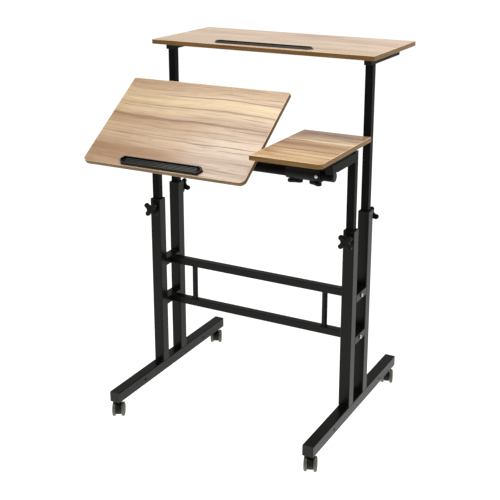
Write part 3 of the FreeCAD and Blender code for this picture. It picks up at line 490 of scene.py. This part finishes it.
# ------------------------------------------------------------------ coats of the pieces that are shown as built
leg_nodes = [n for n in NODES if n in ("upper_leg_left", "upper_leg_right", "lower_leg_left", "lower_leg_right", "upper_arm_left", "upper_arm_right",
                                       "lower_arm_left", "lower_arm_right")]
tube_nodes = ["cross_tube"]
steel_nodes = [n for n in NODES if n.startswith(("foot_tube", "column_front", "column_rear", "rail_", "side_crosspieces", "frame_washers", "knob_weld_nuts"))]
zinc_nodes = ["frame_bolts", "upper_shelf_screws", "tilt_clamp_screws", "side_clamp_screws", "caster_stems"]
bar_nodes = ["upper_stopper", "tilt_stopper"]
housing_nodes = [n for n in NODES if n.startswith("caster_housing")]
cap_nodes = [n for n in NODES if n.startswith("foot_") and n not in steel_nodes]
plastic_nodes = [n for n in NODES if n not in leg_nodes + tube_nodes + steel_nodes + zinc_nodes + bar_nodes + housing_nodes + cap_nodes]
dress(leg_nodes, LEG)
dress(tube_nodes, TUBE)
dress(steel_nodes, STEEL)
dress(zinc_nodes, ZINC)
dress(bar_nodes, BAR)
dress(plastic_nodes, PLASTIC)
dress(housing_nodes, HOUSING)
dress(cap_nodes, CAP)

# ------------------------------------------------------------------ boards
lo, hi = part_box("upper_shelf")
up = board("upper_shelf_board", hi.x - lo.x, hi.y - lo.y, hi.z - lo.z, [6 * MM] * 4, WOOD_U, EDGE_U,
           Matrix.Translation(((lo.x + hi.x) / 2, (lo.y + hi.y) / 2, lo.z)))
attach(up, "upper_carriage")
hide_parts("upper_shelf")

lo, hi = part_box("side_shelf")
sd = board("side_shelf_board", hi.x - lo.x, hi.y - lo.y, hi.z - lo.z, [5 * MM, 18 * MM, 5 * MM, 4 * MM], WOOD_S, EDGE_S,
           Matrix.Translation(((lo.x + hi.x) / 2, (lo.y + hi.y) / 2, lo.z)))
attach(sd, "side_panel")
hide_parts("side_shelf")

lo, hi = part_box("tilt_panel")
T_W, T_D, T_T = hi.x - lo.x, 378.5 * MM, 15 * MM
# underside middle of the tilted board
mid = (lo + hi) / 2.0
nrm = Vector((0.0, -math.sin(TILT), math.cos(TILT)))
T_AT = Matrix.Translation(mid - nrm * (T_T / 2)) @ Matrix.Rotation(TILT, 4, "X")
tl = board("laptop_panel_board", T_W, T_D, T_T, [20 * MM, 20 * MM, 5 * MM, 5 * MM], WOOD_T, EDGE_T, T_AT)
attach(tl, "laptop_panel")
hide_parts("tilt_panel")

# ------------------------------------------------------------------ stopper bars: long hexagonal trays with leaning walls, a rolled rim and a ridged floor
def hexagon(length, depth, inset, corner):
    """Outline of a long hexagon with pointed ends, all sides moved in by inset, corners rounded."""
    x, y, k = length / 2.0, depth / 2.0, depth * 0.42
    slant = math.hypot(k, y)
    tip = x - inset * slant / y
    yy = y - inset
    sh = tip - k * yy / y
    ring = [Vector(p) for p in ((-tip, 0.0), (-sh, -yy), (sh, -yy), (tip, 0.0), (sh, yy), (-sh, yy))]
    out = []
    for i, p in enumerate(ring):
        a = (ring[i - 1] - p).normalized()
        b = (ring[(i + 1) % 6] - p).normalized()
        half = a.angle(b) / 2.0
        cut = corner / math.tan(half)
        c = p + (a + b).normalized() * (corner / math.sin(half))
        s0, s1 = p + a * cut - c, p + b * cut - c
        for j in range(5):
            v = s0.slerp(s1, j / 4.0) if corner > 0 else s0
            out.append(c + v)
    return out


def tray(name, length, h, coat, matrix):
    d, lean, base = 36.0, 4.5, 2.3
    rim = lean + 2.0
    # Profile materials: the outer walls take the coat; the inner walls and the floor between the ridges take the
    # near-black copy (painted shade), the ridges a lighter copy (painted light) and the rim top a lighter copy (painted
    # highlight).
    prof = [(0.5, 0.0, 0), (0.05, 0.25, 0), (0.25, 0.75, 0), (lean - 0.55, h - 0.75, 0), (lean - 0.25, h - 0.32, 0), (lean + 0.15, h - 0.08, 3), (lean + 0.6, h, 3),
            (rim - 0.5, h, 3), (rim - 0.15, h - 0.15, 3), (rim, h - 0.5, 1), (rim + 0.30, base + 0.9, 1), (rim + 0.6, base + 0.25, 1), (rim + 1.1, base, 1)]
    bm = bmesh.new()
    rings = []
    for inset, z, mi in prof:
        rings.append([bm.verts.new((p.x * MM, p.y * MM, z * MM)) for p in hexagon(length, d, inset, 1.8 if inset < lean else 0.9)])
    n = len(rings[0])
    for k in range(len(rings) - 1):
        for i in range(n):
            f = bm.faces.new((rings[k][i], rings[k][(i + 1) % n], rings[k + 1][(i + 1) % n], rings[k + 1][i]))
            f.material_index = prof[k + 1][2]
    bm.faces.new(rings[-1]).material_index = 1
    bm.faces.new(list(reversed(rings[0]))).material_index = 0
    half = length / 2.0 - d * 0.42 - lean - 6.0
    gd = d - 2.0 * rim
    for i in range(4):
        y = -gd / 2.0 + gd * (i + 0.5) / 4.0
        cut = [(-1.8, -0.2), (-1.4, 0.75), (-0.8, 1.05), (0.8, 1.05), (1.4, 0.75), (1.8, -0.2)]
        ends = []
        for x, k in ((-half - 1.5, 0.15), (-half, 1.0), (half, 1.0), (half + 1.5, 0.15)):
            ends.append([bm.verts.new((x * MM, (y + cy) * MM, (base + (cz if k == 1.0 or cz < 0.0 else -0.05 * abs(cy))) * MM)) for cy, cz in cut])
        for a, b in zip(ends, ends[1:]):
            for j in range(len(cut)):
                q = (j + 1) % len(cut)
                bm.faces.new((a[j], a[q], b[q], b[j])).material_index = 2
        bm.faces.new(ends[0]).material_index = 2
        bm.faces.new(list(reversed(ends[-1]))).material_index = 2
    return link(name, bm, [coat, BAR_SHADE, BAR_LIT_RIDGES, BAR_RIM_HIGHLIGHT], matrix, 40.0)


lo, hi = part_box("upper_stopper")
us = tray("upper_stopper_tray", 362.0, 6.8, BAR, Matrix.Translation(((lo.x + hi.x) / 2.0, (lo.y + hi.y) / 2.0, lo.z)))
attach(us, "upper_carriage")
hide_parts("upper_stopper")
ts = tray("laptop_stopper_tray", 308.0, 8.4, BAR_T_WOOD_REFLECT, T_AT @ Matrix.Translation((-6.0 * MM, -T_D / 2.0 + 22.0 * MM, T_T)))
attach(ts, "laptop_panel")
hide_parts("tilt_stopper")

# ------------------------------------------------------------------ wheels: domed tread, recessed cover with a hub ring
wheel_prof = [(0.0, 11.4, 1), (3.05, 11.4, 1), (3.05, 0.0, 1), (8.0, 0.0, 1), (8.4, 1.3, 1), (17.8, 1.3, 1), (18.2, 0.35, 1), (20.4, 0.3, 1), (21.8, 0.55, 0), (22.9, 1.1, 0), (23.8, 2.0, 0),
              (24.45, 3.2, 0), (24.85, 4.6, 0), (25.0, 6.0, 0), (24.9, 7.3, 0), (24.55, 8.6, 0), (23.95, 9.7, 0), (23.1, 10.6, 0), (22.2, 11.15, 0), (21.6, 11.35, 0),
              (21.3, 10.8, 1), (20.5, 10.75, 1), (20.2, 11.5, 1), (18.0, 11.85, 1), (14.0, 12.2, 1), (9.2, 12.45, 1), (8.4, 12.45, 1), (8.1, 11.9, 1), (7.3, 11.9, 1),
              (7.0, 12.45, 1), (4.0, 12.5, 1), (0.0, 12.5, 1)]
wheel_prof = [(a * MM, b * MM, c) for a, b, c in wheel_prof]
for side in ("left", "right"):
    for end in ("front", "rear"):
        for k, sign in (("a", -1.0), ("b", 1.0)):
            n = "caster_wheel_%s_%s_%s" % (end, side, k)
            j = JOINTS[n + "_roll"]
            axis = Vector(j["axis"]).normalized() * sign
            hub = Vector(j["pos_m"]) + axis * (9.5 * MM)
            rot = axis.to_track_quat("Z", "Y").to_matrix().to_4x4()
            w = lathe("wheel_%s_%s_%s" % (end, side, k), wheel_prof, 72, [TREAD, COVER], Matrix.Translation(hub) @ rot)
            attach(w, n)
            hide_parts(n)

# ------------------------------------------------------------------ weld beads
WELD = powder("weld_bead", (0.0050, 0.0050, 0.0047), (0.0075, 0.0075, 0.0070), 0.34, 0.16, 900.0, 0.35)
bm = bmesh.new()
for sx in (-1, 1):
    x = sx * COL_X
    for sy in (-1, 1):
        for f in (-1, 1):
            y = sy * COL_Y + f * COL_W / 2.0
            bead(bm, [at(x - 16.5, y, FOOT_TOP), at(x + 16.5, y, FOOT_TOP)], 1.7 * MM)
        y = sy * (COL_Y - COL_W / 2.0)
        for z in (RAIL_HI, RAIL_LO):
            for f in (-1, 1):
                bead(bm, [at(x - 16.5, y, z + f * CROSS_H / 2.0), at(x + 16.5, y, z + f * CROSS_H / 2.0)], 1.5 * MM)
    for z in (RAIL_LO + RAIL_W / 2.0, RAIL_HI - RAIL_W / 2.0):
        ring = [at(sx * STRUT_X + (STRUT_R + 0.2) * math.cos(2 * math.pi * i / 36), (STRUT_R + 0.2) * math.sin(2 * math.pi * i / 36), z) for i in range(36)]
        bead(bm, ring, 1.9 * MM, True)
base_weld = link("weld_beads_base", bm, [WELD], smooth_angle=60.0)
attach(base_weld, "base_frame")

bm = bmesh.new()
for sx in (-1, 1):
    x = sx * COL_X
    for f in (-1, 1):
        y = COL_Y + f * LEG_W / 2.0
        bead(bm, [at(x - 11.0, y, ULEG_TOP), at(x + 11.0, y, ULEG_TOP)], 1.4 * MM)
upper_weld = link("weld_beads_upper", bm, [WELD], smooth_angle=60.0)
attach(upper_weld, "upper_carriage")

bm = bmesh.new()
for sx in (-1, 1):
    x = sx * COL_X
    y = -COL_Y - LEG_W / 2.0
    bead(bm, [at(x - 11.0, y, ARM_Z0), at(x + 11.0, y, ARM_Z0)], 1.4 * MM)
    arc = [at(sx * (COL_X - LEG_W / 2.0), TUBE_Y + TUBE_R * math.cos(math.radians(a)), TUBE_Z + TUBE_R * math.sin(math.radians(a))) for a in range(49, 132, 3)]
    bead(bm, arc, 1.2 * MM)
lower_weld = link("weld_beads_lower", bm, [WELD], smooth_angle=60.0)
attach(lower_weld, "lower_carriage")

# ------------------------------------------------------------------ floor, light, camera
bm = bmesh.new()
s = 40.0
bm.faces.new([bm.verts.new(p) for p in ((-s, -s, 0), (s, -s, 0), (s, s, 0), (-s, s, 0))])
fm, fnt, fb = material("floor")
fn = noise(fnt, stretched(fnt, (0.8, 0.8, 0.8)), 1.0, 2.0, 0.5)
fnt.links.new(ramp(fnt, fn.outputs["Fac"], [(0.3, (0.24, 0.24, 0.24)), (0.7, (0.26, 0.26, 0.26))]), fb.inputs["Base Color"])
fb.inputs["Roughness"].default_value = 0.9
fb.inputs["Specular IOR Level"].default_value = 0.0
fb.inputs["Emission Color"].default_value = (1.0, 1.0, 1.0, 1.0)
# The floor glows (emission) in a painted pool of light, strongest round (0.15, -0.90) and falling off out to 1.7 m: it
# keeps the floor white, washes out shadows on it and brightens reflections in the frame.
far = fnt.nodes.new("ShaderNodeVectorMath")
far.operation = "LENGTH"
fnt.links.new(stretched(fnt, (1.0, 1.0, 1.0), (-0.15, 0.90, 0.0)), far.inputs[0])
glow = fnt.nodes.new("ShaderNodeMapRange")
glow.interpolation_type = "SMOOTHSTEP"
for sock, v in (("From Min", 0.35), ("From Max", 1.7), ("To Min", 1.45), ("To Max", 0.92)):
    glow.inputs[sock].default_value = v
fnt.links.new(far.outputs["Value"], glow.inputs["Value"])
fnt.links.new(glow.outputs["Result"], fb.inputs["Emission Strength"])
floor = link("floor", bm, [fm])

world = bpy.data.worlds.new("studio")
scene.world = world
world.use_nodes = True
wn = world.node_tree
bg = wn.nodes["Background"]
bg.inputs["Color"].default_value = (1.0, 1.0, 1.0, 1.0)
bg.inputs["Strength"].default_value = 0.42


def area(name, loc, target, size_x, size_y, power, color=(1, 1, 1)):
    d = bpy.data.lights.new(name, "AREA")
    d.shape = "RECTANGLE"
    d.size, d.size_y = size_x, size_y
    d.energy = power
    d.color = color
    o = bpy.data.objects.new(name, d)
    scene.collection.objects.link(o)
    o.location = loc
    o.rotation_euler = (Vector(target) - Vector(loc)).to_track_quat("-Z", "Y").to_euler()
    return o


area("top_softbox", (-0.1, 0.2, 4.2), (-0.1, 0.2, 0.8), 4.3, 4.0, 160.0)
area("right_softbox", (2.4, 0.4, 2.2), (0.4, 0.1, 1.25), 2.4, 2.4, 18.0, (1.0, 1.0, 0.92))

cam_data = bpy.data.cameras.new("camera")
cam = bpy.data.objects.new("camera", cam_data)
scene.collection.objects.link(cam)
cam_data.sensor_width = 36.0
cam_data.lens = 986.34 / 500.0 * 36.0
cam_data.shift_x = 0.0
cam_data.shift_y = -0.12
cam_data.clip_end = 200.0
cam.location = (1.4641 + MID_X, -2.7846 + MID_Y, 1.6951)
cam.rotation_euler = (math.radians(90.0 - 16.503), 0.0, math.radians(28.226))
scene.camera = cam
scene.view_settings.view_transform = "Standard"
